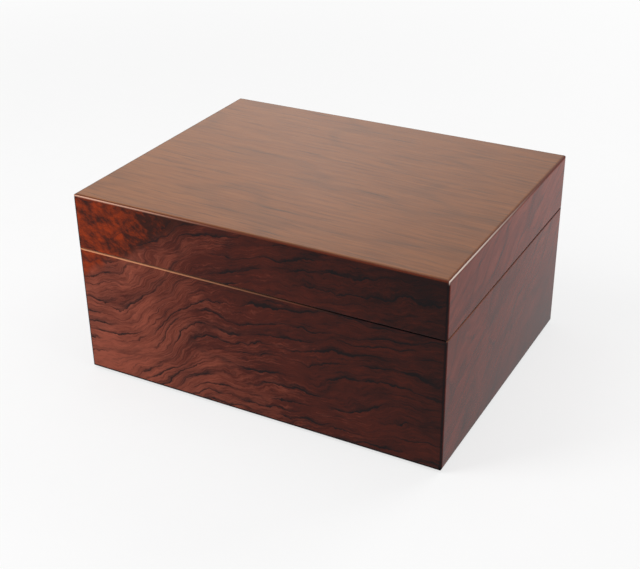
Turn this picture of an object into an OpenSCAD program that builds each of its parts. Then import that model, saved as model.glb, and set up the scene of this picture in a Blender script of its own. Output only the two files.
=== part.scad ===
// Desktop humidor: a veneered, lacquered box with a hinged lid and a cedar lining.
// Millimetres. X runs left to right, Y front to back, Z up.
// The origin is the centre of the footprint, on the surface that the felt stands on.

/* [Box] */
// Outer width, left to right
box_w = 300; // [280:1:400]
// Outer depth, front to back
box_d = 235; // [200:1:320]
// Height over everything, from the felt to the top of the lid
box_h = 151; // [142:1:190]
// Height of the lid, from its rim to its top
lid_h = 44.2; // [42:0.2:60]
// Thickness of the veneered walls of base and lid
wall_t = 12; // [11.5:0.5:15]
// Thickness of the veneered lid top
top_t = 10; // [7:0.5:12]
// Thickness of the floor panel
floor_t = 6; // [4:0.5:9]
// Depth of the rabbet in the walls that the floor panel sits in
floor_rabbet = 6; // [4:0.5:8]
// Gap between the rims of base and lid
seam_gap = 0.4; // [0.3:0.1:0.8]
// Round on the upright corners and along the top of the lid
edge_r = 2.4; // [1:0.1:3]
// Round along the foot of the base
foot_r = 3.2; // [1:0.1:3.5]
// Round on the outer edge of each rim
rim_r = 1; // [0.5:0.1:1.4]
// Thickness of the felt under the base
felt_t = 1.2; // [0.8:0.1:3]
// How far the felt stops short of the outer faces
felt_inset = 4; // [3.6:0.2:5.6]

/* [Cedar lining] */
// Thickness of the lining on the walls
liner_t = 5; // [4:0.5:7]
// Thickness of the lining under the lid top
ceiling_t = 4; // [3:0.5:5]
// Thickness of the lining on the floor
deck_t = 4; // [3:0.5:6]
// How far the base lining stands above the base rim, as the lip that seals the lid
lip_h = 8; // [5:0.5:9]
// How far the lip is planed back from the lid walls
lip_relief = 0.5; // [0.4:0.1:0.8]
// Chamfer that leads the lid over the lip
lip_chamfer = 1.5; // [0.5:0.1:2.5]
// Gap between the top of the lip and the lining of the lid walls
lip_gap = 0.5; // [0.3:0.1:1]
// Round on the open edges of lining, tray and dividers
ease_r = 0.8; // [0.4:0.1:1.2]

/* [Quadrant hinges] */
// Opening angle of the lid, in degrees
lid_open = 95; // [80:1:100]
// Thickness of a hinge leaf
leaf_t = 1.5; // [1:0.1:2]
// Width of both legs of a leaf
leaf_w = 8; // [7:0.5:8]
// Length of the leg along the side wall, from the pin
leaf_l = 52; // [50:1:70]
// Length of the leg along the back wall
leaf_back = 46; // [44:1:60]
// How far a leaf stays inside the outer faces of the box
leaf_edge = 2; // [1.8:0.1:2.4]
// Outer radius of a knuckle
knuckle_r = 2.6; // [2.2:0.1:3]
// Length of the row of knuckles
knuckle_l = 28; // [20:1:30]
// Length of the middle knuckle, which belongs to the base leaf
knuckle_mid = 10; // [6:1:12]
// Distance from the side of the box to the first knuckle
knuckle_in = 8; // [6:0.5:9]
// Radius of the hinge pin
pin_r = 1.2; // [0.8:0.1:1.4]
// How far the pin lies behind the back of the box
pin_out = 0.6; // [0.4:0.1:1.4]
// Radius of the curved stay, measured from the pin
stay_r = 36; // [32:0.5:38]
// Width of the stay's strip
stay_w = 4; // [3:0.5:5]
// Thickness of the stay's strip
stay_t = 1.6; // [1:0.1:2]
// Radius of the cross pin that stops the stay at each end
stop_r = 1.2; // [0.9:0.1:1.5]
// Length of that cross pin
stop_l = 4.4; // [3.6:0.2:5]
// Radius of a hinge screw's head
screw_head_r = 2.2; // [1.8:0.1:2.6]
// Radius of a hinge screw's shank
screw_r = 1.1; // [0.8:0.1:1.3]
// Length of a hinge screw
screw_l = 9; // [6:0.5:10]

/* [Tray] */
// Height of the lift-out tray
tray_h = 38; // [30:1:42]
// Thickness of the tray walls
tray_wall_t = 6; // [5:0.5:8]
// How far the tray's top lies below the top of the lip
tray_drop = 4.2; // [2:0.2:8]
// Gap between the tray and the lining, all round
tray_gap = 0.8; // [0.4:0.1:1.5]
// Number of fingers in each corner joint
tray_fingers = 5; // [3:2:7]
// Thickness of the floor slats
slat_t = 5; // [4:0.5:7]
// Number of floor slats
slat_n = 9; // [5:1:12]
// Gap between floor slats
slat_gap = 6; // [4:0.5:8]
// Depth of the rabbet in the tray ends that carries the slats
slat_rabbet = 3; // [2:0.5:4]
// Radius of the half-moon finger notches
notch_r = 17; // [12:1:20]
// Depth of those notches
notch_depth = 14; // [9:0.5:16]
// Height of the strips that carry the tray
rest_h = 12; // [8:1:18]
// Thickness of those strips
rest_t = 8; // [5:0.5:10]

/* [Dividers] */
// Thickness of both sliding dividers
divider_t = 6; // [4:0.5:8]
// Gap at each end of a divider
divider_gap = 0.3; // [0.2:0.1:0.6]
// Gap between the lower divider and the tray
divider_top_gap = 3; // [1:0.5:8]
// How far the tray divider stays below the tray's top
divider_drop = 3; // [1:0.5:8]

/* [Humidifier] */
// Width of the humidifier
hum_w = 130; // [110:1:140]
// Depth of the humidifier
hum_d = 58; // [50:1:80]
// Height of its case
hum_h = 13; // [11:0.5:14]
// Wall of its case
hum_wall = 1.8; // [1.4:0.1:2.4]
// Corner radius of its case
hum_r = 6; // [4:0.5:10]
// Thickness of its grille
grille_t = 2.2; // [1.6:0.1:3]
// Bevel round the face of its grille
grille_bevel = 0.9; // [0.4:0.1:1.4]
// Length of the plug that holds the grille in the case
grille_plug = 3; // [2:0.5:4]
// Slots in each row of the grille
slot_n = 14; // [6:1:15]
// Rows of slots
slot_rows = 2; // [1:1:2]
// Width of a slot
slot_w = 3.6; // [2.4:0.2:4.4]
// Length of a slot
slot_l = 19; // [12:0.5:20]
// Radius of its holding magnets
hum_magnet_r = 5; // [4:0.5:6]
// Thickness of its holding magnets
hum_magnet_t = 2; // [1.6:0.1:2.4]
// Distance between its magnets
hum_magnet_span = 80; // [60:1:90]

/* [Hygrometer] */
// Outer radius of the brass bezel
bezel_r = 28; // [26:0.5:32]
// Radius of the case behind it
case_r = 25.5; // [24.5:0.5:25.5]
// Radius of the dial
dial_r = 23; // [22:0.5:23]
// Thickness of the dial
dial_t = 0.6; // [0.4:0.1:1]
// Thickness of the lens
lens_t = 1.6; // [1.2:0.1:2]
// Length of the needle, from the arbor to its tip
needle_l = 18.5; // [12:0.5:19]
// Reading that the needle rests at, in percent
reading = 70; // [20:1:90]
// Radius of the arbor that carries the needle
arbor_r = 0.8; // [0.6:0.1:1]
// Turns of the spiral that moves the needle
coil_turns = 4; // [2:1:5]
// Thickness of the spiral's strip
coil_t = 0.4; // [0.3:0.1:0.5]
// Thickness of the steel plates that the magnets hold to
plate_t = 0.8; // [0.5:0.1:1.2]
// Gap between humidifier and hygrometer
dash_gap = 24; // [10:1:40]

/* [Hidden] */
$fn = 64;
fit = 0.05;          // radial gap of a pressed or glued fit
run_fit = 0.06;      // radial gap between the pin and a knuckle that turns on it
clear = 0.3;         // gap between pieces that pass each other
through = 1;         // how far a cutter runs past the face that it opens

// Levels
z_rim = box_h - lid_h - seam_gap;
z_lid = box_h - lid_h;
z_pin = z_rim + seam_gap / 2;
z_lip = z_rim + lip_h;
z_ceiling = box_h - top_t - ceiling_t;
z_deck = felt_t + floor_t + deck_t;
z_tray_top = z_lip - tray_drop;
z_tray = z_tray_top - tray_h;

// Plan sizes inside the walls and inside the lining
in_w = box_w - 2 * wall_t;
in_d = box_d - 2 * wall_t;
room_w = in_w - 2 * liner_t;
room_d = in_d - 2 * liner_t;
tray_w = room_w - 2 * tray_gap;
tray_d = room_d - 2 * tray_gap;

// Hinge places, for the right-hand hinge
side_x = box_w / 2;
pin_y = box_d / 2 + pin_out;
leaf_end_y = pin_y - knuckle_r - clear;
leaf_mid_x = side_x - leaf_edge - leaf_w / 2;
knuckle_x = side_x - knuckle_in - knuckle_l;
knuckle_outer = (knuckle_l - knuckle_mid) / 2 - clear;
leaf_room = 0.15;    // gap round a leaf in its mortise

// The stay floats: half of the opening happens in the base and half in the lid
stop_angle = asin((seam_gap / 2 + leaf_t) / stay_r) + asin((stop_r + clear) / stay_r);
stay_half = lid_open / 2 + stop_angle;
stay_tail = 1.2;     // strip beyond the cross pin
stay_end = stay_half + asin((stop_r + stay_tail) / stay_r);
pocket_room = 0.8;   // gap round the stay in its pocket

// Hinge screws as [x, y] of the right-hand hinge
screw_end = 6;       // from a leaf's end to its screw
corner_screw = 12;   // from the pin to the screw in the corner
screw_places = [
    [leaf_mid_x, pin_y - leaf_l + screw_end],
    [leaf_mid_x, pin_y - corner_screw],
    [side_x - leaf_edge - leaf_back + screw_end, leaf_end_y - leaf_w / 2]
];

// Humidifier and hygrometer stand side by side, centred under the lid
dash_w = hum_w + dash_gap + 2 * bezel_r;
hum_x = (hum_w - dash_w) / 2;
hyg_x = dash_w / 2 - bezel_r;

// Depths inside the hygrometer, measured down from the lid's lining
case_back = 3;
coil_room = 5.4;
needle_room = 2.2;
z_case_floor = plate_t + case_back;
z_dial = z_case_floor + coil_room;
z_lens = z_dial + dial_t + needle_room;
z_case_top = z_lens + lens_t;
ledge = 1;           // width of the steps that the dial and the lens sit on
case_bore = dial_r - ledge;
lens_r = dial_r + ledge;
hyg_magnet_r = 14;
hyg_magnet_hole = 6.5;
hyg_magnet_t = 1.6;
cal_r = 3;
cal_flange_r = 5;
cal_flange_t = 1;
bezel_lip_t = 1;
bezel_side = 5;
dial_hole = 1.6;
scale_sweep = 270;   // from the 0 to the 100 mark, centred on the front of the lid

// Shared shapes

module rounded_rect(w, d, r) {
    square([w - 2 * r, d], center = true);
    square([w, d - 2 * r], center = true);
    for (x = [-1, 1], y = [-1, 1])
        translate([x * (w / 2 - r), y * (d / 2 - r)]) circle(r);
}

// Waste of a round of radius r, in the corner at the origin of the first quadrant
module corner_waste(r) {
    difference() {
        translate([-through, -through]) square(r + through);
        translate([r, r]) circle(r);
    }
}

// Section of a planed board, w thick and h high, with its two upper edges eased
module eased_board(w, h) {
    difference() {
        square([w, h]);
        translate([0, h]) mirror([0, 1]) corner_waste(ease_r);
        translate([w, h]) rotate(180) corner_waste(ease_r);
    }
}

// A profile of [depth from the outer face, height], run along X with its outer face on y = 0
module run_profile(length) {
    rotate([90, 0, 90]) linear_extrude(length, center = true) children();
}

// Plan of a wall with mitred ends, its outer face on y = 0
module mitred_plan(length, thickness) {
    polygon([
        [-length / 2, 0], [length / 2, 0],
        [length / 2 - thickness, thickness], [-length / 2 + thickness, thickness]
    ]);
}

// A mitred wall from z0 to z1 of the profile given as child
module mitred_wall(length, thickness, z0, z1) {
    intersection() {
        run_profile(length) children();
        translate([0, 0, z0]) linear_extrude(z1 - z0) mitred_plan(length, thickness);
    }
}

// Turn a wall that faces the front to another side of a box of w by d
module on_front(d) { translate([0, -d / 2, 0]) children(); }
module on_back(d) { rotate(180) on_front(d) children(); }
module on_left(w) { rotate(-90) on_front(w) children(); }
module on_right(w) { rotate(90) on_front(w) children(); }

// Keep only what lies inside the upright rounded corners of the box
module corner_rounded() {
    intersection() {
        children();
        linear_extrude(box_h) rounded_rect(box_w, box_d, edge_r);
    }
}

module mirrored() { mirror([1, 0, 0]) children(); }
module both_sides() {
    children();
    mirrored() children();
}

// A cylinder along X, from x0, about the line through y and z
module rod(x0, y, z, length, r) {
    translate([x0, y, z]) rotate([0, 90, 0]) cylinder(h = length, r = r);
}

// Veneered base

module base_wall_profile() {
    difference() {
        polygon([
            [0, felt_t], [floor_rabbet, felt_t], [floor_rabbet, felt_t + floor_t],
            [wall_t, felt_t + floor_t], [wall_t, z_rim], [0, z_rim]
        ]);
        translate([0, felt_t]) corner_waste(foot_r);
        translate([0, z_rim]) mirror([0, 1]) corner_waste(rim_r);
    }
}

module base_wall(length) {
    mitred_wall(length, wall_t, felt_t, z_rim) base_wall_profile();
}

module base_front() {
    color("#5a2417") corner_rounded() on_front(box_d) base_wall(box_w);
}

module base_back() {
    color("#5a2417") difference() {
        corner_rounded() on_back(box_d) base_wall(box_w);
        both_sides() hinge_mortise(-1);
    }
}

module base_right() {
    color("#5a2417") difference() {
        corner_rounded() on_right(box_w) base_wall(box_d);
        hinge_mortise(-1);
    }
}

module base_left() {
    color("#5a2417") difference() {
        corner_rounded() on_left(box_w) base_wall(box_d);
        mirrored() hinge_mortise(-1);
    }
}

module base_floor() {
    color("#b08a5c") translate([0, 0, felt_t]) linear_extrude(floor_t)
        square([box_w - 2 * floor_rabbet, box_d - 2 * floor_rabbet], center = true);
}

module base_felt() {
    color("#24201f") linear_extrude(felt_t)
        rounded_rect(box_w - 2 * felt_inset, box_d - 2 * felt_inset, edge_r);
}

// Veneered lid. Walls and top are mitred, so that their only joints lie on the rounded edges.

module lid_wall_profile() {
    difference() {
        polygon([[0, z_lid], [wall_t, z_lid], [wall_t, box_h - top_t], [0, box_h]]);
        translate([0, z_lid]) corner_waste(rim_r);
        translate([0, box_h]) mirror([0, 1]) corner_waste(edge_r);
    }
}

module lid_wall(length) {
    mitred_wall(length, wall_t, z_lid, box_h) lid_wall_profile();
}

// Section through the lid top across a span, with its two mitred and rounded edges
module lid_top_profile(span) {
    difference() {
        polygon([
            [-span / 2, box_h], [span / 2, box_h],
            [span / 2 - wall_t, box_h - top_t], [-span / 2 + wall_t, box_h - top_t]
        ]);
        for (side = [0, 1])
            mirror([side, 0]) translate([-span / 2, box_h]) mirror([0, 1]) corner_waste(edge_r);
    }
}

module lid_top() {
    color("#6b3420") corner_rounded() intersection() {
        rotate([90, 0, 0]) linear_extrude(box_d, center = true) lid_top_profile(box_w);
        run_profile(box_w) lid_top_profile(box_d);
    }
}

module lid_front() {
    color("#5a2417") corner_rounded() on_front(box_d) lid_wall(box_w);
}

module lid_back() {
    color("#5a2417") difference() {
        corner_rounded() on_back(box_d) lid_wall(box_w);
        both_sides() hinge_mortise(1);
    }
}

module lid_right() {
    color("#5a2417") difference() {
        corner_rounded() on_right(box_w) lid_wall(box_d);
        hinge_mortise(1);
    }
}

module lid_left() {
    color("#5a2417") difference() {
        corner_rounded() on_left(box_w) lid_wall(box_d);
        mirrored() hinge_mortise(1);
    }
}

// Cedar lining. The base lining stands proud of the rim as a lip, planed back and chamfered outside.

module base_liner_profile() {
    difference() {
        polygon([
            [0, felt_t + floor_t], [liner_t, felt_t + floor_t], [liner_t, z_lip],
            [lip_relief + lip_chamfer, z_lip], [lip_relief, z_lip - lip_chamfer],
            [lip_relief, z_rim], [0, z_rim]
        ]);
        translate([liner_t, z_lip]) rotate(180) corner_waste(ease_r);
    }
}

module base_liner(length) {
    color("#c98d5e") mitred_wall(length, liner_t, felt_t + floor_t, z_lip) base_liner_profile();
}

module base_liner_front() { on_front(in_d) base_liner(in_w); }
module base_liner_back() { on_back(in_d) base_liner(in_w); }
module base_liner_left() { on_left(in_w) base_liner(in_d); }
module base_liner_right() { on_right(in_w) base_liner(in_d); }

module base_liner_floor() {
    color("#c98d5e") translate([0, 0, felt_t + floor_t]) linear_extrude(deck_t)
        square([room_w, room_d], center = true);
}

z_lid_liner = z_lip + lip_gap;

module lid_liner_profile() {
    difference() {
        translate([0, z_lid_liner]) square([liner_t, z_ceiling - z_lid_liner]);
        translate([liner_t, z_lid_liner]) mirror([1, 0]) corner_waste(ease_r);
    }
}

module lid_liner(length) {
    color("#c98d5e") mitred_wall(length, liner_t, z_lid_liner, z_ceiling) lid_liner_profile();
}

module lid_liner_front() { on_front(in_d) lid_liner(in_w); }
module lid_liner_back() { on_back(in_d) lid_liner(in_w); }
module lid_liner_left() { on_left(in_w) lid_liner(in_d); }
module lid_liner_right() { on_right(in_w) lid_liner(in_d); }

module lid_liner_top() {
    color("#c98d5e") translate([0, 0, z_ceiling]) linear_extrude(ceiling_t)
        square([in_w, in_d], center = true);
}

// Quadrant hinges. All shapes are for the right-hand hinge. The side is -1 for the base and 1 for the lid.

// Outline of a leaf: one leg along the side wall, one along the back wall, both with round ends
module leaf_plan(grow) {
    front_y = pin_y - leaf_l;
    inner_x = side_x - leaf_edge - leaf_back;
    half = leaf_w / 2;
    leg_w = leaf_w + 2 * grow;
    translate([leaf_mid_x - half - grow, front_y + half])
        square([leg_w, leaf_end_y + grow - front_y - half]);
    translate([leaf_mid_x, front_y + half]) circle(half + grow);
    translate([inner_x + half, leaf_end_y - leaf_w - grow])
        square([leaf_back - half + grow, leg_w]);
    translate([inner_x + half, leaf_end_y - half]) circle(half + grow);
}

// A plate that lies against a rim and reaches depth into that half of the box
module against_rim(side, depth) {
    rim = side > 0 ? z_lid : z_rim;
    translate([0, 0, side > 0 ? rim : rim - depth]) linear_extrude(depth) children();
}

// The knuckles of one leaf, as [start, length] along X
function knuckles(side) = side < 0
    ? [[knuckle_x + knuckle_outer + clear, knuckle_mid]]
    : [[knuckle_x, knuckle_outer], [knuckle_x + knuckle_l - knuckle_outer, knuckle_outer]];

// Slot through which the stay passes a leaf
module stay_slot(side) {
    slot_x = stay_t + 2 * clear;
    slot_y = stay_w + 2 * clear;
    translate([leaf_mid_x - slot_x / 2, pin_y - stay_r - slot_y / 2, z_pin - leaf_t * 3])
        cube([slot_x, slot_y, leaf_t * 6]);
}

// Countersunk screw, its head flush with the leaf's face, going into that half of the box
module screw(side, grow) {
    sink = screw_head_r - screw_r;
    mirror([0, 0, side > 0 ? 0 : 1]) {
        cylinder(h = sink, r1 = screw_head_r + grow, r2 = screw_r + grow);
        cylinder(h = screw_l + grow, r = screw_r + grow);
    }
}

module at_screws(side) {
    for (p = screw_places)
        translate([p[0], p[1], side > 0 ? z_lid : z_rim]) children();
}

module hinge_leaf(side) {
    bore = pin_r + (side > 0 ? run_fit : fit);
    color("#c9a04a") difference() {
        union() {
            against_rim(side, leaf_t) {
                leaf_plan(0);
                for (k = knuckles(side))
                    translate([k[0], leaf_end_y - leaf_w / 2])
                        square([k[1], leaf_w / 2 + pin_y - leaf_end_y]);
            }
            for (k = knuckles(side)) rod(k[0], pin_y, z_pin, k[1], knuckle_r);
        }
        rod(knuckle_x - through, pin_y, z_pin, knuckle_l + 2 * through, bore);
        stay_slot(side);
        at_screws(side) screw(side, fit);
    }
}

// Everything that is cut from a wall for a hinge: leaf, knuckles, screws and the pocket of the stay
module hinge_mortise(side) {
    depth = leaf_t + leaf_room;
    notch_l = knuckle_l + 2 * clear;
    against_rim(side, depth) {
        leaf_plan(leaf_room);
        translate([knuckle_x - clear, leaf_end_y - leaf_w / 2]) square([notch_l, leaf_w]);
    }
    rod(knuckle_x - clear, pin_y, z_pin, notch_l, knuckle_r + clear + leaf_room);
    at_screws(side) screw(side, fit);
    stay_pocket(side);
}

module stay_pocket(side) {
    pocket_w = stop_l + 2 * clear;
    front = stay_r + stay_w / 2 + pocket_room;
    back = (stay_r - stay_w / 2) * cos(stay_end) - pocket_room;
    depth = (stay_r + stay_w / 2) * sin(stay_end) + pocket_room;
    translate([leaf_mid_x - pocket_w / 2, pin_y - front, side > 0 ? z_pin : z_pin - depth])
        cube([pocket_w, front - back, depth]);
}

// Curved strip about the pin, with a cross pin near each end
module hinge_stay() {
    color("#c9a04a") translate([leaf_mid_x, pin_y, z_pin]) rotate([90, 0, -90]) {
        rotate(-stay_end) rotate_extrude(angle = 2 * stay_end)
            translate([stay_r - stay_w / 2, -stay_t / 2]) square([stay_w, stay_t]);
        for (a = [-stay_half, stay_half])
            rotate(a) translate([stay_r, 0]) cylinder(h = stop_l, r = stop_r, center = true);
    }
}

module hinge_leaf_base_right() { hinge_leaf(-1); }
module hinge_leaf_base_left() { mirrored() hinge_leaf(-1); }
module hinge_leaf_lid_right() { hinge_leaf(1); }
module hinge_leaf_lid_left() { mirrored() hinge_leaf(1); }
module hinge_stay_right() { hinge_stay(); }
module hinge_stay_left() { mirrored() hinge_stay(); }

module hinge_pins() {
    color("#c9a04a") both_sides() rod(knuckle_x, pin_y, z_pin, knuckle_l, pin_r);
}

// Screws with a driver slot across the head
module hinge_screws(side) {
    slot = screw_head_r / 3;
    slot_turn = 40;
    color("#d6b25e") both_sides() at_screws(side) difference() {
        screw(side, 0);
        rotate(slot_turn) cube([3 * screw_head_r, slot, slot], center = true);
    }
}

module hinge_screws_base() { hinge_screws(-1); }
module hinge_screws_lid() { hinge_screws(1); }

// Lift-out tray of cedar, finger-jointed, on two strips

module tray_rest_right() {
    color("#c98d5e") translate([room_w / 2 - rest_t, -room_d / 2, z_tray - rest_h])
        cube([rest_t, room_d, rest_h]);
}
module tray_rest_left() { mirrored() tray_rest_right(); }

finger_h = tray_h / tray_fingers;

// One corner's fingers, taken from a wall that gives up the odd or even ones
module finger_waste(first) {
    for (i = [first : 2 : tray_fingers - 1])
        translate([-tray_wall_t, -tray_wall_t, i * finger_h])
            cube([2 * tray_wall_t, 2 * tray_wall_t, finger_h]);
}

module tray_long_wall() {
    color("#c4875a") translate([0, 0, z_tray]) difference() {
        on_front(tray_d) run_profile(tray_w) eased_board(tray_wall_t, tray_h);
        for (x = [-1, 1]) translate([x * tray_w / 2, -tray_d / 2, 0]) finger_waste(1);
    }
}

module tray_end_wall() {
    color("#c4875a") difference() {
        translate([0, 0, z_tray]) on_right(tray_w) run_profile(tray_d) eased_board(tray_wall_t, tray_h);
        for (y = [-1, 1]) translate([tray_w / 2, y * tray_d / 2, z_tray]) finger_waste(0);
        translate([tray_w / 2 - tray_wall_t - through, -slat_field / 2, z_tray - through])
            cube([slat_rabbet + through, slat_field, slat_t + through]);
        rod(tray_w / 2 - tray_wall_t - through, 0, z_tray_top + notch_r - notch_depth,
            tray_wall_t + 2 * through, notch_r);
    }
}

module tray_front() { tray_long_wall(); }
module tray_back() { rotate(180) tray_long_wall(); }
module tray_right() { tray_end_wall(); }
module tray_left() { mirrored() tray_end_wall(); }

// Slats fill the floor between the long walls and sit in the rabbets of the end walls
slat_field = tray_d - 2 * tray_wall_t;
slat_w = (slat_field - (slat_n - 1) * slat_gap) / slat_n;

module tray_slats() {
    slat_l = tray_w - 2 * (tray_wall_t - slat_rabbet);
    color("#cf9767") for (i = [0 : slat_n - 1])
        translate([0, -slat_field / 2 + i * (slat_w + slat_gap), z_tray])
            run_profile(slat_l) eased_board(slat_w, slat_t);
}

// Sliding dividers, each a cedar board with a thumb notch in its top edge

module divider(length, z0, z1) {
    color("#bd7f52") difference() {
        translate([0, 0, z0]) on_right(divider_t) run_profile(length) eased_board(divider_t, z1 - z0);
        rod(-divider_t, 0, z1 + notch_r - notch_depth, 2 * divider_t, notch_r);
    }
}

module tray_divider() {
    divider(slat_field - 2 * divider_gap, z_tray + slat_t, z_tray_top - divider_drop);
}

module base_divider() {
    divider(room_d - 2 * divider_gap, z_deck, z_tray - divider_top_gap);
}

// Humidifier, drawn upside down: its z runs down from the lid's lining

module hang(x) {
    translate([x, 0, z_ceiling]) rotate([180, 0, 0]) children();
}

module at_hum_magnets() {
    for (x = [-1, 1]) translate([x * hum_magnet_span / 2, 0, plate_t]) children();
}

boss_wall = 1.4;
boss_h = hum_magnet_t + boss_wall;
foam_gap = 0.4;

module humidifier_case() {
    color("#1b1b1c") hang(hum_x) difference() {
        union() {
            translate([0, 0, plate_t]) linear_extrude(hum_h) difference() {
                rounded_rect(hum_w, hum_d, hum_r);
                rounded_rect(hum_w - 2 * hum_wall, hum_d - 2 * hum_wall, hum_r - hum_wall);
            }
            translate([0, 0, plate_t]) linear_extrude(hum_wall)
                rounded_rect(hum_w - hum_wall, hum_d - hum_wall, hum_r - hum_wall / 2);
            at_hum_magnets() cylinder(h = boss_h, r = hum_magnet_r + boss_wall);
        }
        at_hum_magnets() translate([0, 0, -through])
            cylinder(h = hum_magnet_t + through, r = hum_magnet_r + fit);
    }
}

module humidifier_magnets() {
    color("#9a9a9c") hang(hum_x) at_hum_magnets() cylinder(h = hum_magnet_t, r = hum_magnet_r);
}

module humidifier_plates() {
    plate_w = 3 * hum_magnet_r;
    plate_l = 5 * hum_magnet_r;
    color("#b4b6b8") hang(hum_x) for (x = [-1, 1])
        translate([x * hum_magnet_span / 2, 0, 0]) linear_extrude(plate_t)
            square([plate_w, plate_l], center = true);
}

plug_w = hum_w - 2 * hum_wall - 2 * fit;
plug_d = hum_d - 2 * hum_wall - 2 * fit;
plug_r = hum_r - hum_wall - fit;
z_grille = plate_t + hum_h;
slot_pitch = (plug_w - 2 * plug_r) / slot_n;
row_pitch = plug_d / slot_rows;

module slot() {
    square([slot_w, slot_l - slot_w], center = true);
    for (y = [-1, 1]) translate([0, y * (slot_l - slot_w) / 2]) circle(slot_w / 2);
}

// Waste of a bevel along the edge of a rounded face, which is the top of what is cut
module face_bevel(w, d, r, bevel) {
    size = bevel + through;
    for (turn = [0, 180]) {
        rotate(turn) on_front(d) run_profile(w - 2 * r) bevel_waste(size);
        rotate(turn) on_right(w) run_profile(d - 2 * r) bevel_waste(size);
    }
    for (x = [-1, 1], y = [-1, 1])
        translate([x * (w / 2 - r), y * (d / 2 - r), 0]) rotate(atan2(y, x) - 45)
            rotate_extrude(angle = 90) translate([r, 0]) mirror([1, 0]) bevel_waste(size);
}

module bevel_waste(size) {
    polygon([[-through, through], [size, through], [-through, -size]]);
}

module humidifier_grille() {
    color("#222224") hang(hum_x) difference() {
        union() {
            translate([0, 0, z_grille]) linear_extrude(grille_t) rounded_rect(hum_w, hum_d, hum_r);
            translate([0, 0, z_grille - grille_plug]) linear_extrude(grille_plug) difference() {
                rounded_rect(plug_w, plug_d, plug_r);
                rounded_rect(plug_w - 2 * hum_wall, plug_d - 2 * hum_wall, plug_r - hum_wall);
            }
        }
        translate([0, 0, z_grille + grille_t]) face_bevel(hum_w, hum_d, hum_r, grille_bevel);
        translate([0, 0, z_grille - grille_plug - through])
            linear_extrude(grille_t + grille_plug + 2 * through)
                for (i = [0 : slot_n - 1], j = [0 : slot_rows - 1])
                    translate([(i - (slot_n - 1) / 2) * slot_pitch, (j - (slot_rows - 1) / 2) * row_pitch])
                        slot();
    }
}

module humidifier_foam() {
    z0 = plate_t + boss_h;
    margin = 2 * hum_wall + foam_gap;
    color("#7d8a4f") hang(hum_x) translate([0, 0, z0])
        linear_extrude(z_grille - foam_gap - z0)
            rounded_rect(hum_w - 2 * margin, hum_d - 2 * margin, plug_r - hum_wall);
}

// Hygrometer, drawn upside down in the same way

// Stepped cup: a room for the spiral, a ledge for the dial and a ledge for the lens
module hygrometer_case() {
    color("#b08d3e") hang(hyg_x) difference() {
        rotate_extrude() polygon([
            [cal_r + run_fit, plate_t], [case_r, plate_t], [case_r, z_case_top], [lens_r + fit, z_case_top],
            [lens_r + fit, z_lens], [dial_r + fit, z_lens], [dial_r + fit, z_dial],
            [case_bore, z_dial], [case_bore, z_case_floor], [cal_r + run_fit, z_case_floor]
        ]);
        translate([0, 0, plate_t - through]) difference() {
            cylinder(h = hyg_magnet_t + through, r = hyg_magnet_r + fit);
            cylinder(h = hyg_magnet_t + through, r = hyg_magnet_hole - fit);
        }
    }
}

module hygrometer_magnet() {
    color("#4a4a4c") hang(hyg_x) translate([0, 0, plate_t]) linear_extrude(hyg_magnet_t) difference() {
        circle(hyg_magnet_r);
        circle(hyg_magnet_hole);
    }
}

module hygrometer_plate() {
    color("#b4b6b8") hang(hyg_x) cylinder(h = plate_t, r = hyg_magnet_r);
}

// Brass ring that slips over the case and holds the lens down, rounded outside and bevelled inside
module hygrometer_bezel() {
    front = z_case_top + bezel_lip_t;
    skirt_r = case_r + fit;
    round_r = bezel_r - skirt_r;
    z_skirt = z_case_top - bezel_side;
    color("#d1a84f") hang(hyg_x) rotate_extrude() difference() {
        union() {
            translate([case_bore, z_case_top]) square([skirt_r - case_bore, bezel_lip_t]);
            translate([skirt_r, z_skirt]) square([round_r, front - round_r - z_skirt]);
            translate([skirt_r, front - round_r]) circle(round_r);
        }
        square([skirt_r, z_case_top]);
        polygon([[0, z_case_top], [case_bore, z_case_top], [lens_r, front + through], [0, front + through]]);
    }
}

module hygrometer_lens() {
    color([0.85, 0.92, 0.95, 0.35]) hang(hyg_x) translate([0, 0, z_lens])
        cylinder(h = lens_t, r = lens_r);
}

module hygrometer_dial() {
    color("#f3efe2") hang(hyg_x) translate([0, 0, z_dial]) linear_extrude(dial_t) difference() {
        circle(dial_r);
        circle(dial_hole);
    }
}

// Spindle with a driver slot at the back. It carries the arbor's bush and the post that holds the spiral.
post_r = 0.8;
post_inset = 3;
post_place = case_bore - post_inset;
coil_inner = arbor_r + 2 * clear;
coil_outer = post_place - post_r - fit;
z_coil = z_case_floor + cal_flange_t + clear;
coil_w = z_dial - clear - z_coil;
arm_w = 2.4;

module hygrometer_calibrator() {
    head = plate_t + clear;
    slot = cal_r / 3;
    color("#c9a04a") hang(hyg_x) difference() {
        union() {
            translate([0, 0, head]) cylinder(h = z_case_floor + cal_flange_t - head, r = cal_r);
            translate([0, 0, z_case_floor]) {
                cylinder(h = cal_flange_t, r = cal_flange_r);
                translate([0, -arm_w / 2, 0]) cube([post_place, arm_w, cal_flange_t]);
                translate([post_place, 0, 0]) cylinder(h = z_dial - clear - z_case_floor, r = post_r);
            }
        }
        translate([0, 0, head]) cube([3 * cal_r, slot, 2 * slot], center = true);
        translate([0, 0, z_case_floor - cal_flange_t])
            cylinder(h = 2 * cal_flange_t + through, r = arbor_r + run_fit);
    }
}

// Spiral strip from the arbor out to the post
coil_steps = 24;
function spiral(t) = coil_inner + (coil_outer - coil_inner - coil_t) * t / (360 * coil_turns);
function spiral_side(grow) = [
    for (i = [0 : coil_steps * coil_turns])
        let (t = i * 360 / coil_steps, r = spiral(t) + grow) [r * cos(t), r * sin(t)]
];
function reversed(list) = [for (i = [len(list) - 1 : -1 : 0]) list[i]];

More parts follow.
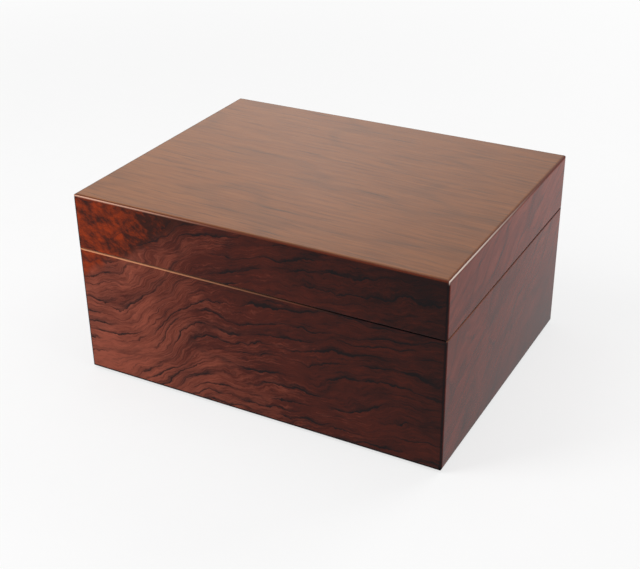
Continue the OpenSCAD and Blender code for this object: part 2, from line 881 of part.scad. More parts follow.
module hygrometer_coil() {
    color("#a8743a") hang(hyg_x) translate([0, 0, z_coil]) linear_extrude(coil_w)
        polygon(concat(spiral_side(0), reversed(spiral_side(coil_t))));
}

// Needle, hub and arbor in one piece. It turns with the reading, clockwise as seen from below.
needle_t = 0.4;
needle_w = 2;
hub_r = 2.4;
tail_l = 7;
reading_angle = (reading / 100 - 0.5) * scale_sweep;

module hygrometer_needle() {
    arbor_z = z_case_floor - cal_flange_t + clear;
    z_hub = z_dial + dial_t + clear;
    hub_h = needle_room / 2;
    color("#141414") hang(hyg_x) {
        translate([0, 0, arbor_z]) cylinder(h = z_hub - arbor_z + hub_h, r = arbor_r);
        translate([0, 0, z_hub]) {
            cylinder(h = hub_h, r = hub_r);
            rotate(90 - reading_angle) linear_extrude(needle_t) polygon([
                [needle_l, 0], [0, needle_w / 2], [-tail_l, needle_w],
                [-tail_l, -needle_w], [0, -needle_w / 2]
            ]);
        }
    }
}

base_front();
base_back();
base_left();
base_right();
base_floor();
base_felt();
base_liner_front();
base_liner_back();
base_liner_left();
base_liner_right();
base_liner_floor();
tray_rest_left();
tray_rest_right();
hinge_leaf_base_left();
hinge_leaf_base_right();
hinge_pins();
hinge_screws_base();
lid_top();
lid_front();
lid_back();
lid_left();
lid_right();
lid_liner_top();
lid_liner_front();
lid_liner_back();
lid_liner_left();
lid_liner_right();
hinge_leaf_lid_left();
hinge_leaf_lid_right();
hinge_screws_lid();
hinge_stay_left();
hinge_stay_right();
humidifier_case();
humidifier_grille();
humidifier_foam();
humidifier_magnets();
humidifier_plates();
hygrometer_case();
hygrometer_bezel();
hygrometer_lens();
hygrometer_dial();
hygrometer_magnet();
hygrometer_plate();
hygrometer_calibrator();
hygrometer_coil();
hygrometer_needle();
tray_front();
tray_back();
tray_left();
tray_right();
tray_slats();
tray_divider();
base_divider();
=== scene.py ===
# Desktop humidor: a veneered and lacquered box with a hinged lid and a cedar lining.
# Metres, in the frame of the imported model: X to the right, Y from the front to the back, Z up.
import math

import bmesh
import bpy
from mathutils import Matrix, Vector


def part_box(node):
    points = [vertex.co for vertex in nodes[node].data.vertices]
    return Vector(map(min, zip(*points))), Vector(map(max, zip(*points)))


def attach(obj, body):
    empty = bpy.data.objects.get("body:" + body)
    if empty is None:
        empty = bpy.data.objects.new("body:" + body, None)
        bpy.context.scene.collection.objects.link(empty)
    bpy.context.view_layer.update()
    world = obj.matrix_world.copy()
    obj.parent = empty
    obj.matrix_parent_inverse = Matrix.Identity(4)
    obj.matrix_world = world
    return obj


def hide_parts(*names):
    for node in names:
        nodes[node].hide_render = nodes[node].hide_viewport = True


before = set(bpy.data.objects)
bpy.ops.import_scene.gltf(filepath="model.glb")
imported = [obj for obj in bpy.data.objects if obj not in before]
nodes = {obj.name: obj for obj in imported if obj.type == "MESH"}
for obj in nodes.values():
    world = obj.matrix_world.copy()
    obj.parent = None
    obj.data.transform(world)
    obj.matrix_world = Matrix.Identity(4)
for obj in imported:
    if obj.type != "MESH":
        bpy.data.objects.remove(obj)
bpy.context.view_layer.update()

scene = bpy.context.scene
scene.view_settings.view_transform = "Standard"

# Camera
# It stands in front of the near right corner and looks down on the lid.
# Its angles, place and lens are fitted to the outline of the box in the photograph.
camera_turn = math.radians(28.656)
camera_tilt = math.radians(28.446)
camera_roll = math.radians(-0.751)
camera_place = (0.39219, -0.73104, 0.50477)
camera_data = bpy.data.cameras.new("camera")
camera_data.sensor_width = 36
camera_data.lens = 66.476
camera = bpy.data.objects.new("camera", camera_data)
camera.matrix_world = (
    Matrix.Translation(camera_place)
    @ Matrix.Rotation(camera_turn, 4, "Z")
    @ Matrix.Rotation(math.pi / 2 - camera_tilt, 4, "X")
    @ Matrix.Rotation(camera_roll, 4, "Z"))
scene.collection.objects.link(camera)
scene.camera = camera

# Floor and studio light
# A wide sheet of white paper lies under the box. Soft boxes stand at the front left, the back right and
# the right, and one hangs above. A dim wide one behind the box is the one that shows in the lid.


class Shade:
    """One value in a material. An expression on it adds Math nodes, and make adds any other node."""

    def __init__(self, tree, socket=None):
        self.tree = tree
        self.socket = socket

    def make(self, kind, settings=None, sockets=None, out=0):
        node = self.tree.nodes.new(kind)
        for name, value in (settings or {}).items():
            if name == "stops":
                ramp = node.color_ramp
                while len(ramp.elements) < len(value):
                    ramp.elements.new(1)
                for element, (place, colour) in zip(ramp.elements, value):
                    element.position = place
                    element.color = (*colour, 1)
            else:
                setattr(node, name, value)
        for name, value in (sockets or {}).items():
            if isinstance(value, Shade):
                self.tree.links.new(value.socket, node.inputs[name])
            else:
                node.inputs[name].default_value = value
        return Shade(self.tree, node.outputs[out] if node.outputs else None)

    def reckon(self, operation, first, second=0.0):
        return self.make("ShaderNodeMath", {"operation": operation}, {0: first, 1: second})

    def __add__(self, other):
        return self.reckon("ADD", self, other)

    def __radd__(self, other):
        return self.reckon("ADD", other, self)

    def __sub__(self, other):
        return self.reckon("SUBTRACT", self, other)

    def __rsub__(self, other):
        return self.reckon("SUBTRACT", other, self)

    def __mul__(self, other):
        return self.reckon("MULTIPLY", self, other)

    def __rmul__(self, other):
        return self.reckon("MULTIPLY", other, self)

    def __truediv__(self, other):
        return self.reckon("DIVIDE", self, other)

    def __pow__(self, other):
        return self.reckon("POWER", self, other)

    def __abs__(self):
        return self.reckon("ABSOLUTE", self)


def new_finish(name):
    """A new material with an empty tree, and the Shade that fills it."""
    material = bpy.data.materials.new(name)
    material.use_nodes = True
    material.node_tree.nodes.clear()
    return material, Shade(material.node_tree)


def blend_of(shade, share, first, second):
    """A colour between two colours."""
    return shade.make("ShaderNodeMix", {"data_type": "RGBA"}, {0: share, 6: first, 7: second}, out=2)


def ease(shade, value, low, high):
    """0 below low, 1 above high, and a smooth rise between them."""
    return shade.make(
        "ShaderNodeMapRange", {"interpolation_type": "SMOOTHSTEP"},
        {"Value": value, "From Min": low, "From Max": high, "To Min": 0.0, "To Max": 1.0})


def seen_or_mirrored(shade):
    """1 for what is seen straight, in a mirror or through glass, and 0 for what only gives light."""
    seen = shade.make("ShaderNodeLightPath", out="Is Camera Ray")
    mirrored = shade.make("ShaderNodeLightPath", out="Is Glossy Ray")
    passed = shade.make("ShaderNodeLightPath", out="Is Transmission Ray")
    return shade.make(
        "ShaderNodeMath", {"operation": "ADD", "use_clamp": True}, {0: seen + mirrored, 1: passed})


def deselect():
    bpy.ops.object.select_all(action="DESELECT")


def soft_light(name, place, aim, width, height, watts, spread=180, mirrored=True):
    """A soft box at place that faces aim. A grid narrows its spread, and mirrored shows it in lacquer."""
    data = bpy.data.lights.new(name, "AREA")
    data.shape = "RECTANGLE"
    data.size = width
    data.size_y = height
    data.energy = watts
    data.spread = math.radians(spread)
    light = bpy.data.objects.new(name, data)
    light.location = place
    light.rotation_euler = (Vector(aim) - Vector(place)).to_track_quat("-Z", "Y").to_euler()
    light.visible_glossy = mirrored
    scene.collection.objects.link(light)


plain_white = (1.0, 1.0, 1.0, 1)
room_grey = (0.30, 0.30, 0.30, 1)
paper_dark, paper_light = (0.90, 0.90, 0.90, 1), (0.93, 0.93, 0.93, 1)
paper_size = 16
least_white = 0.7
fade_start, fade_end = 0.4, 1.6

paper, shade = new_finish("white_paper")
place = shade.make("ShaderNodeTexCoord", out="Object")
mottle = shade.make("ShaderNodeTexNoise", {}, {"Vector": place, "Scale": 40.0, "Detail": 4.0})
sheet = shade.make("ShaderNodeBsdfPrincipled", {}, {
    "Base Color": blend_of(shade, mottle, paper_dark, paper_light),
    "Roughness": 0.9,
    "Specular IOR Level": 0.1,
})
white = shade.make("ShaderNodeEmission", {}, {"Color": plain_white, "Strength": 1.0})
# The paper turns plain white with the distance from the box, so that only the shade near it shows.
distance = shade.make("ShaderNodeVectorMath", {"operation": "LENGTH"}, {0: place}, out="Value")
fade = least_white + (1 - least_white) * ease(shade, distance, fade_start, fade_end)
shown = shade.make("ShaderNodeMixShader", {}, {0: fade * seen_or_mirrored(shade), 1: sheet, 2: white})
shade.make("ShaderNodeOutputMaterial", {}, {"Surface": shown})
deselect()
bpy.ops.mesh.primitive_plane_add(size=paper_size, location=(0, 0, 0))
floor = bpy.context.object
floor.name = "floor"
floor.data.materials.append(paper)

world = bpy.data.worlds.new("studio")
world.use_nodes = True
world.node_tree.nodes.clear()
scene.world = world
shade = Shade(world.node_tree)
backdrop = blend_of(shade, seen_or_mirrored(shade), room_grey, plain_white)
shown = shade.make("ShaderNodeBackground", {}, {"Color": backdrop, "Strength": 1.0})
shade.make("ShaderNodeOutputWorld", {}, {"Surface": shown})

soft_light("light_left", place=(-0.66, -0.70, 0.96), aim=(-0.10, -0.1, 0.1),
           width=0.5, height=1.2, watts=10.0, mirrored=False)
soft_light("light_above", place=(-0.15, 0.2, 1.8), aim=(0, 0.05, 0), width=1.2, height=1.2, watts=5.1)
soft_light("light_behind", place=(-0.82, 1.47, 0.90), aim=(0.0, -0.03, 0.15),
           width=2.2, height=1.0, watts=0.075, spread=26)
soft_light("light_right", place=(0.66, 1.28, 1.02), aim=(0, 0, 0.15),
           width=0.9, height=0.9, watts=9.0, mirrored=False)
soft_light("light_fill", place=(1.5, -0.2, 0.7), aim=(0.1, 0, 0.08),
           width=0.9, height=0.9, watts=5.0, mirrored=False)

# Veneered walls and lid
# The walls and the lid are board with a figured red-brown veneer, mitred at the corners and glued.
# Base and lid are cut from one box, so the figure runs on across the seam. The lacquer is polished.


def place_in_mm(shade):
    """The three coordinates of the finish, in millimetres."""
    co = shade.make("ShaderNodeTexCoord", out="Object")
    return [shade.make("ShaderNodeSeparateXYZ", {}, {0: co}, out=axis) * 1000 for axis in "XYZ"]


def clouds(shade, u, v, w, detail=2.0, rough=0.5):
    """Soft noise from 0 to 1 at the point (u, v, w), about one cloud to each unit."""
    point = shade.make("ShaderNodeCombineXYZ", {}, {0: u, 1: v, 2: w})
    return shade.make(
        "ShaderNodeTexNoise", {}, {"Vector": point, "Scale": 1.0, "Detail": detail, "Roughness": rough})


def larger(first, second):
    """The larger of two values."""
    return first.reckon("MAXIMUM", first, second)


def remainder(value):
    """What a value has beyond a whole number."""
    return value.reckon("FRACT", value)


def ramp(shade, value, *stops):
    """A colour that runs through stops. Each is a value and the colour at it."""
    return shade.make("ShaderNodeValToRGB", {"stops": stops}, {0: value})


def relief(shade, strength, depth, height):
    """The normal of a fine relief, depth metres deep where height is 1."""
    return shade.make("ShaderNodeBump", {}, {"Strength": strength, "Distance": depth, "Height": height})


def surface(shade, sockets):
    """The Principled shader of a finish, on the material's output."""
    shader = shade.make("ShaderNodeBsdfPrincipled", {}, sockets)
    shade.make("ShaderNodeOutputMaterial", {}, {"Surface": shader})


def finish_nodes(material, *names):
    """Gives CAD nodes a finish."""
    for name in names:
        slots = nodes[name].data.materials
        if not slots:
            slots.append(material)
        for i in range(len(slots)):
            slots[i] = material


top_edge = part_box("lid_top")[1].z * 1000
rim_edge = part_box("base_front")[1].z * 1000
front_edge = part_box("base_front")[0].y * -1000
right_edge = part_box("base_right")[1].x * 1000
# A painted warm sheen on the near upper edges of the lid.
edge_sheen_tone = (0.125, 0.021, 0.006)
# A painted pale highlight on the near upper edges and on the seam.
painted_highlight = (0.850, 0.370, 0.190)
burr_dark = (0.038, 0.006, 0.002)
most_ink = 0.9


def veneer(
    name, along, across, face, seed, tones, gloss=1.2, rise=0.0, bend=0.0, wander=26, crinkle=9,
    gap=11, line=0.9, fine=0.45, smoke=0.3, loops=(90, 30), pore=0.15, dash=(12, 1.1),
    patchy=0.7, fibrous=0.55, grain=(10, 1.1), drift_and_shade=(0.0, 0.0, 0.0), centre=75,
    burr=None, highlight_fade=(-400, -300), seam_highlight_strength=0.0, edge_highlight_colour=painted_highlight,
):
    """Lacquered veneer on the outer face of a wall, with lengths in millimetres.

    along and across are the axes with the grain and across it, and face is the wall's place on the third.
    tones are dark, middle and light wood and the ink of the dark lines, and gloss is the lacquer's IOR.
    rise tilts the figure, bend lifts it on its way along, and wander and crinkle sway it.
    gap is the distance between dark lines. line and fine are the depth of broad and of fine lines, smoke
    that of smoky loops and pore that of short strokes. loops and dash are the length and width of those.
    patchy and fibrous are the play of tone in patches and fibres. grain is a fibre's length and width.
    drift_and_shade darkens the wood along the grain, across it from centre on, and towards the corner of
    both, partly as the wood's own tone and partly as painted shade where the light falls off.
    burr is the colour of a burr in the upper left corner.
    highlight_fade is where along the grain the painted highlight on seam and near edges starts to fade and
    where it ends. seam_highlight_strength is how strong it is at the seam, and edge_highlight_colour is its
    colour on the edges.
    """
    low, middle, high, ink = tones
    material, shade = new_finish(name)
    place = place_in_mm(shade)
    u, v = place[along], place[across]
    depth = abs(place[3 - along - across] - face)
    sway = clouds(shade, u / 75, v / 48, seed) - 0.5
    ripple = clouds(shade, u / 12, v / 15, seed + 5.3, 3.0, 0.55) - 0.5
    jag = clouds(shade, u / 4, v / 2.5, seed + 13.6, 2.0, 0.6) - 0.5
    turn = bend * ease(shade, u + 40 * (clouds(shade, u / 60, v / 30, seed + 16.4) - 0.5), -120, -35)
    level = v + depth - rise * u - turn + wander * sway + crinkle * (ripple + 0.2 * jag)
    # Dark lines, sharp on one side and fading on the other, that come and go along the grain.
    step = remainder(level / gap + 2.8 * clouds(shade, u / 110, level / 30, seed + 9.1))
    edge = ease(shade, step, 0.0, 0.05) * (1 - step) ** 5.0
    comes = 1.2 * ease(shade, clouds(shade, u / 40, level / 8, seed + 3.7, 3.0), 0.38, 0.62)
    fine_step = remainder(level / (gap * 0.35) + 1.6 * clouds(shade, u / 60, level / 16, seed + 1.9))
    fine_edge = ease(shade, fine_step, 0.0, 0.12) * (1 - fine_step) ** 4.0
    fine_comes = ease(shade, clouds(shade, u / 28, level / 5, seed + 6.1), 0.42, 0.66)
    broken = 0.35 + 1.3 * clouds(shade, u / 7, level / 1.4, seed + 15.1, 2.0, 0.6)
    # Broad smoky loops, along the contours of a cloud, and the short strokes of the pores.
    contour = abs(clouds(shade, u / loops[0], level / loops[1], seed + 2.2, 1.0) - 0.5)
    haze = (1 - ease(shade, contour, 0.0, 0.05)) * (0.3 + clouds(shade, u / 40, v / 22, seed + 8.1, 3.0))
    pores = ease(shade, clouds(shade, u / dash[0], level / dash[1], seed + 10.3), 0.56, 0.74)
    dark = (line * edge * comes + fine * fine_edge * fine_comes) * broken + smoke * haze + pore * pores
    # Lighter and darker patches, and the fibres of the wood.
    patch = clouds(shade, u / 32, level / 13, seed + 4.4, 3.0, 0.6) - 0.5
    fibre = clouds(shade, u / grain[0], level / grain[1], seed + 7.7, 3.0, 0.65) - 0.5
    # The drift is partly the wood's own tone and partly painted shade, darker where the light falls off.
    aside, up = u / 150, (v - centre) / 75
    fall_and_shade = drift_and_shade[0] * aside + drift_and_shade[1] * up + drift_and_shade[2] * aside * up
    tone = 0.5 + patchy * patch + fibrous * fibre - fall_and_shade
    colour = ramp(shade, tone, (0.0, low), (0.5, middle), (1.0, high))
    if burr:
        swirl = clouds(shade, (u - 0.5 * v) / 11, (v + 0.5 * u) / 7, seed + 11.4, 6.0, 0.68)
        knot = ease(shade, swirl - 0.0026 * (u + 125), 0.33, 0.70)
        border = 30 * (clouds(shade, u / 30, v / 30, seed + 12.2) - 0.5)
        corner = ease(shade, v - 84 - 0.56 * (u + 150) + border, -5.0, 9.0)
        colour = blend_of(shade, corner, colour, blend_of(shade, knot, (*burr_dark, 1), (*burr, 1)))
        dark = dark * (1 - 0.45 * corner)
    colour = blend_of(shade, shade.reckon("MINIMUM", dark, most_ink), colour, (*ink, 1))
    # All rounded edges are darkened. The near upper edges of the lid get a painted warm sheen, and they and
    # the seam get a painted highlight, strongest at one end and fading along the grain.
    left, right = (ease(shade, way * place[0], right_edge - 4, right_edge - 2) for way in (-1, 1))
    front, back = (ease(shade, way * place[1], front_edge - 4, front_edge - 2) for way in (-1, 1))
    foot = 1 - ease(shade, place[2], 4, 6)
    rounded = ease(shade, depth, 0.03, 0.4) * (1 - ease(shade, depth, 2.2, 3.2))
    upper = rounded * larger(front, right) * ease(shade, place[2], top_edge - 4, top_edge - 1)
    below_seam = ease(shade, place[2], rim_edge - 1.1, rim_edge - 0.6)
    rim = below_seam * (1 - ease(shade, place[2], rim_edge, rim_edge + 0.2))
    # A painted highlight on the near upper edges and the seam, full at one end and fading along the grain.
    # The near upper edges also get a clear coat.
    highlight_reach = 1 - ease(shade, u, *highlight_fade)
    coat_and_highlight = upper * highlight_reach ** 3.0
    seam_highlight_mask = seam_highlight_strength * rim * highlight_reach * (1 - ease(shade, depth, 1.0, 2.0))
    colour = blend_of(shade, 0.8 * rounded, colour, (*ink, 1))
    colour = blend_of(shade, 0.85 * upper, colour, (*edge_sheen_tone, 1))
    colour = blend_of(shade, 0.7 * coat_and_highlight, colour, (*edge_highlight_colour, 1))
    colour = blend_of(shade, seam_highlight_mask, colour, (*painted_highlight, 1))
    # On the left, the back and the foot the roundings are matt and painted dark, a painted dark reflection
    # that outlines the box. Other roundings, save the highlighted ones, are a little matt and dark too.
    far = larger(larger(left, back), foot)
    painted_outline = far * ease(shade, depth, 0.005, 0.06) * (1 - ease(shade, depth, 3.2, 4.2))
    matt_and_painted_dark = larger(0.9 * painted_outline, 0.4 * rounded) * (1 - upper) * (1 - rim * highlight_reach)
    # The polished lacquer has a faint swell and a trace of wiping marks.
    wipe = clouds(shade, u / 60, v / 45, seed + 8.8, 3.0)
    swell = clouds(shade, u / 30, v / 30, seed + 0.6, 1.0)
    surface(shade, {
        "Base Color": blend_of(shade, matt_and_painted_dark, colour, (*ink, 1)),
        "Roughness": 0.04 + 0.05 * wipe + 0.25 * rim * highlight_reach + matt_and_painted_dark,
        "IOR": gloss,
        "Coat Weight": coat_and_highlight,
        "Coat Roughness": 0.06,
        "Coat IOR": 2.4,
        "Normal": relief(shade, 0.06, 0.001, swell),
    })
    return material


wall_tones = (
    (0.020, 0.004, 0.003), (0.080, 0.012, 0.006), (0.310, 0.072, 0.040), (0.004, 0.003, 0.004))
top_tones = (
    (0.128, 0.037, 0.007), (0.236, 0.077, 0.017), (0.318, 0.117, 0.029), (0.072, 0.031, 0.012))
side_tones = (
    (0.048, 0.008, 0.006), (0.128, 0.017, 0.009), (0.265, 0.046, 0.024), (0.008, 0.005, 0.006))
side_figure = dict(
    gloss=1.15, wander=34, crinkle=7, gap=15, line=0.38, fine=0.20, smoke=0.4, loops=(58, 30),
    pore=0.22, dash=(14, 1.3), patchy=0.8, fibrous=0.32, grain=(22, 2.6))
# The front, the top and the right side get a drift that is partly painted shade. The front and the right
# side also get painted highlights on their near upper edges and on the seam.
finish_nodes(
    veneer("veneer_front", 0, 2, -front_edge, 3.0, wall_tones, rise=0.15, bend=46, gap=10, line=1.2,
           fine=0.75, pore=0.35, dash=(11, 1.0), fibrous=0.75, drift_and_shade=(0.36, 0.16, 0.0),
           burr=(0.315, 0.032, 0.001), highlight_fade=(-150, 85), seam_highlight_strength=0.8),
    "lid_front", "base_front")
finish_nodes(
    veneer("veneer_back", 0, 2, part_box("base_back")[1].y * 1000, 41.0, wall_tones, rise=-0.10),
    "lid_back", "base_back")
finish_nodes(
    veneer("veneer_top", 0, 1, top_edge, 13.0, top_tones, gloss=1.30, rise=-0.04, wander=7, crinkle=1.8,
           gap=8, line=0.4, fine=0.45, smoke=0.25, loops=(140, 60), pore=0.45, dash=(42, 1.8),
           patchy=0.35, fibrous=0.9, grain=(60, 2.0), drift_and_shade=(0.15, -0.02, 0.0), centre=0),
    "lid_top")
finish_nodes(
    veneer("veneer_right", 1, 2, right_edge, 23.0, side_tones, rise=0.45, drift_and_shade=(-0.03, -0.25, -0.20),
           centre=78, highlight_fade=(-118, 160), seam_highlight_strength=0.12, edge_highlight_colour=(0.95, 0.74, 0.60), **side_figure),
    "lid_right", "base_right")
finish_nodes(
    veneer("veneer_left", 1, 2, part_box("base_left")[0].x * 1000, 33.0, side_tones, rise=-0.3,
           **side_figure),
    "lid_left", "base_left")

# Floor panel of the base
# Three-ply board, sawn to size and glued into a rabbet in the four walls. The felt hides it from
# below and the cedar deck from above.
panel_foot, ply_t = 1.2, 2.0
plywood, shade = new_finish("plywood")
x, y, z = place_in_mm(shade)
glue_line = 0.35 * ease(shade, shade.reckon("PINGPONG", z - panel_foot, ply_t), 0.9, 1.1)
streak = clouds(shade, x / 30, y / 1.6, z / 2, 3.0, 0.6)
board = ramp(shade, streak, (0.2, (0.42, 0.26, 0.13)), (0.8, (0.60, 0.42, 0.24)))
surface(shade, {
    "Base Color": blend_of(shade, glue_line, board, (0.36, 0.22, 0.11, 1)),
    "Roughness": 0.6 + 0.2 * streak,
    "Normal": relief(shade, 0.3, 0.0002, streak),
})
finish_nodes(plywood, "base_floor")

# Felt under the base
# A sheet of black wool felt, cut a little smaller than the base and glued under it, so that the box
# doesn't scratch the table. Its cut edge is a little woolly.
felt_low, felt_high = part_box("base_felt")
felt_size = felt_high - felt_low
felt_centre = (felt_low + felt_high) / 2
felt_corner = 0.003
felt_fray = 0.00012
felt_edge = 0.0003


def settle(piece, name):
    """Names a finished piece and puts its place into its mesh."""
    piece.name = piece.data.name = name
    deselect()
    piece.select_set(True)
    bpy.context.view_layer.objects.active = piece
    bpy.ops.object.transform_apply(location=True, rotation=True, scale=True)


def use_modifier(piece, kind, **settings):
    """Adds a modifier and applies it at once."""
    modifier = piece.modifiers.new(kind.lower(), kind)
    for name, value in settings.items():
        setattr(modifier, name, value)
    bpy.context.view_layer.objects.active = piece
    bpy.ops.object.modifier_apply(modifier=modifier.name)


def mottled(shade, place, size, detail=2.0, rough=0.5):
    """Clouds of one size, in millimetres, in all directions."""
    return clouds(shade, *(axis / size for axis in place), detail, rough)


deselect()
bpy.ops.mesh.primitive_grid_add(x_subdivisions=40, y_subdivisions=32, size=1, location=felt_centre)
felt = bpy.context.object
bpy.ops.object.mode_set(mode="EDIT")
bpy.ops.transform.resize(value=(felt_size.x, felt_size.y, 1), center_override=felt_centre)
mesh = bmesh.from_edit_mesh(felt.data)
for vertex in mesh.verts:
    vertex.select = len(vertex.link_faces) == 1
mesh.select_flush_mode()
bpy.ops.mesh.bevel(offset=felt_corner, segments=5, affect="VERTICES")
mesh = bmesh.from_edit_mesh(felt.data)
for vertex in mesh.verts:
    vertex.select = vertex.is_boundary
mesh.select_flush_mode()
bpy.ops.transform.vertex_random(offset=felt_fray, uniform=0.0, normal=0.0, seed=4)
bpy.ops.object.mode_set(mode="OBJECT")
settle(felt, "felt")
for vertex in felt.data.vertices:
    vertex.co.z = felt_centre.z
use_modifier(felt, "SOLIDIFY", thickness=felt_size.z, offset=0.0)
use_modifier(felt, "BEVEL", width=felt_edge, segments=2, limit_method="ANGLE", angle_limit=math.radians(50))
bpy.ops.object.shade_smooth_by_angle(angle=math.radians(40))

wool, shade = new_finish("black_felt")
place = place_in_mm(shade)
curl = mottled(shade, place, 1.2, 5.0, 0.7)
tuft = mottled(shade, place, 14, 3.0)
surface(shade, {
    "Base Color": ramp(
        shade, 0.7 * curl + 0.3 * tuft, (0.25, (0.008, 0.008, 0.009)), (0.75, (0.045, 0.044, 0.046))),
    "Roughness": 0.95,
    "Sheen Weight": 0.4,
    "Normal": relief(shade, 0.8, 0.0004, curl),
})
felt.data.materials.append(wool)
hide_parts("base_felt")
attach(felt, "base")

# Cedar lining
# Planed boards of light red-brown cedar, left without finish so that the wood can breathe. They are
# pressed in behind the walls; in the base they stand proud of the rim as the lip that seals the lid.
cedar_light, cedar_middle, cedar_dark = (0.560, 0.300, 0.170), (0.460, 0.215, 0.112), (0.330, 0.135, 0.064)
cedar_pore = (0.200, 0.078, 0.040)


def cedar(name, along, seed):
    """Planed cedar with its grain along one axis, from a board of its own."""
    material, shade = new_finish(name)
    place = place_in_mm(shade)
    u = place[along]
    v, w = (place[i] for i in range(3) if i != along)
    sway = clouds(shade, u / 110 + seed, v / 40, w / 40) - 0.5
    level = v + 0.55 * w + 20 * sway
    season = remainder(level / 9 + 1.5 * clouds(shade, u / 160, level / 30, seed))
    late = ease(shade, season, 0.05, 0.95)
    band = clouds(shade, u / 120, level / 7, seed + 2.0)
    fibre = clouds(shade, u / 16 + seed, v / 0.7, w / 0.7, 3.0, 0.6)
    pore = ease(shade, clouds(shade, u / 4 + seed, v / 0.45, w / 0.45, 1.0), 0.66, 0.74)
    tone = 0.30 * late + 0.45 * band + 0.55 * fibre - 0.15
    wood = ramp(shade, tone, (0.10, cedar_light), (0.50, cedar_middle), (0.90, cedar_dark))
    surface(shade, {
        "Base Color": blend_of(shade, 0.6 * pore, wood, (*cedar_pore, 1)),
        "Roughness": 0.52 + 0.22 * fibre,
        "Specular IOR Level": 0.3,
        "Normal": relief(shade, 0.35, 0.0003, 0.4 * fibre - 0.6 * pore),
    })
    return material


for seed, (name, along) in enumerate({
    "base_liner_front": 0, "base_liner_back": 0, "base_liner_left": 1, "base_liner_right": 1,
    "base_liner_floor": 0, "lid_liner_top": 0, "lid_liner_front": 0, "lid_liner_back": 0,
    "lid_liner_left": 1, "lid_liner_right": 1, "tray_rest_left": 1, "tray_rest_right": 1,
}.items()):
    finish_nodes(cedar("cedar_" + name, along, 3.7 * seed + 1.0), name)

# Quadrant hinges
# Leaves, stays and screws are solid brass, stamped and turned, then polished. The leaves lie flush in
# mortises in both rims, and the curved stays slide through them into pockets in the wood.
brass_dark, brass_middle, brass_light = (0.560, 0.350, 0.110), (0.760, 0.530, 0.210), (0.840, 0.620, 0.280)


def brass(name, along, seed, dull):
    """Polished brass with fine marks of polishing along one axis and a little tarnish."""
    material, shade = new_finish(name)
    place = place_in_mm(shade)
    u = place[along]
    v, w = (place[i] for i in range(3) if i != along)
    tarnish = clouds(shade, u / 9 + seed, v / 9, w / 9, 4.0, 0.6)
    marks = clouds(shade, u / 6 + seed, v / 0.12, w / 0.12, 2.0, 0.6)
    surface(shade, {
        "Base Color": ramp(shade, tarnish, (0.25, brass_dark), (0.50, brass_middle), (0.80, brass_light)),
        "Metallic": 1.0,
        "Roughness": dull + 0.16 * marks + 0.12 * (1 - tarnish),
        "Normal": relief(shade, 0.12, 0.0001, marks),
    })
    return material


finish_nodes(
    brass("brass_hinge", 1, 2.0, 0.08), "hinge_leaf_base_left", "hinge_leaf_base_right",
    "hinge_leaf_lid_left", "hinge_leaf_lid_right")
finish_nodes(brass("brass_stay", 1, 7.0, 0.06), "hinge_stay_left", "hinge_stay_right")
finish_nodes(brass("brass_pin", 0, 5.0, 0.10), "hinge_pins", "hinge_screws_base", "hinge_screws_lid")

# Tray
# A lift-out box of the same cedar: finger-jointed walls with half-moon notches to lift it by, and
# slats in a rabbet as its floor, so that air passes.
for seed, (name, along) in enumerate({
    "tray_front": 0, "tray_back": 0, "tray_left": 1, "tray_right": 1, "tray_slats": 0,
}.items()):
    finish_nodes(cedar("cedar_" + name, along, 4.1 * seed + 60.0), name)

# Dividers
# Two loose boards of cedar, sawn to fit between front and back, with a thumb notch in the top edge.
# They stand upright, one in the tray and one under it, and slide sideways.
finish_nodes(cedar("cedar_tray_divider", 1, 91.0), "tray_divider")
finish_nodes(cedar("cedar_base_divider", 1, 97.0), "base_divider")

# Humidifier
# A moulded black plastic tray with a slotted grille pressed into it. A block of green foam inside
# holds the water. Two magnets in its back hold it to steel plates under the lid.
plastic, shade = new_finish("black_plastic")
place = place_in_mm(shade)
grain = mottled(shade, place, 0.35, 2.0, 0.6)
handling = mottled(shade, place, 18, 4.0, 0.6)
surface(shade, {
    "Base Color": ramp(shade, handling, (0.3, (0.010, 0.010, 0.011)), (0.7, (0.024, 0.024, 0.026))),
    "Roughness": 0.36 + 0.16 * handling,
    "Specular IOR Level": 0.35,
    "Normal": relief(shade, 0.25, 0.0001, grain),
})
finish_nodes(plastic, "humidifier_case", "humidifier_grille")

plated, shade = new_finish("plated_steel")
x, y, z = place_in_mm(shade)
cloudy = mottled(shade, (x, y, z), 5, 4.0, 0.6)
rolled = clouds(shade, x / 8, y / 0.15, z / 0.15)
surface(shade, {
    "Base Color": ramp(shade, cloudy, (0.3, (0.46, 0.47, 0.48)), (0.7, (0.62, 0.62, 0.62))),
    "Metallic": 1.0,
    "Roughness": 0.22 + 0.2 * rolled,
    "Normal": relief(shade, 0.1, 0.0001, rolled),
})
finish_nodes(plated, "humidifier_magnets", "humidifier_plates")

foam_low, foam_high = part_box("humidifier_foam")
foam_ease = 0.0008
foam_corner = 0.005
foam_voxel = 0.0011
cell_size, cell_depth = 0.0022, 0.0006


def rounded_block(size, place, corner, segments):
    """A block at place, with its upright edges rounded."""
    deselect()
    bpy.ops.mesh.primitive_cube_add(size=1, location=place)
    block = bpy.context.object
    bpy.ops.object.mode_set(mode="EDIT")
    bpy.ops.transform.resize(value=size, center_override=place)
    mesh = bmesh.from_edit_mesh(block.data)
    for edge in mesh.edges:
        start, end = (vertex.co for vertex in edge.verts)
        edge.select = abs((start - end).normalized().z) > 0.9
    mesh.select_flush_mode()
    bpy.ops.mesh.bevel(offset=corner, segments=segments, affect="EDGES")
    bpy.ops.object.mode_set(mode="OBJECT")
    return block


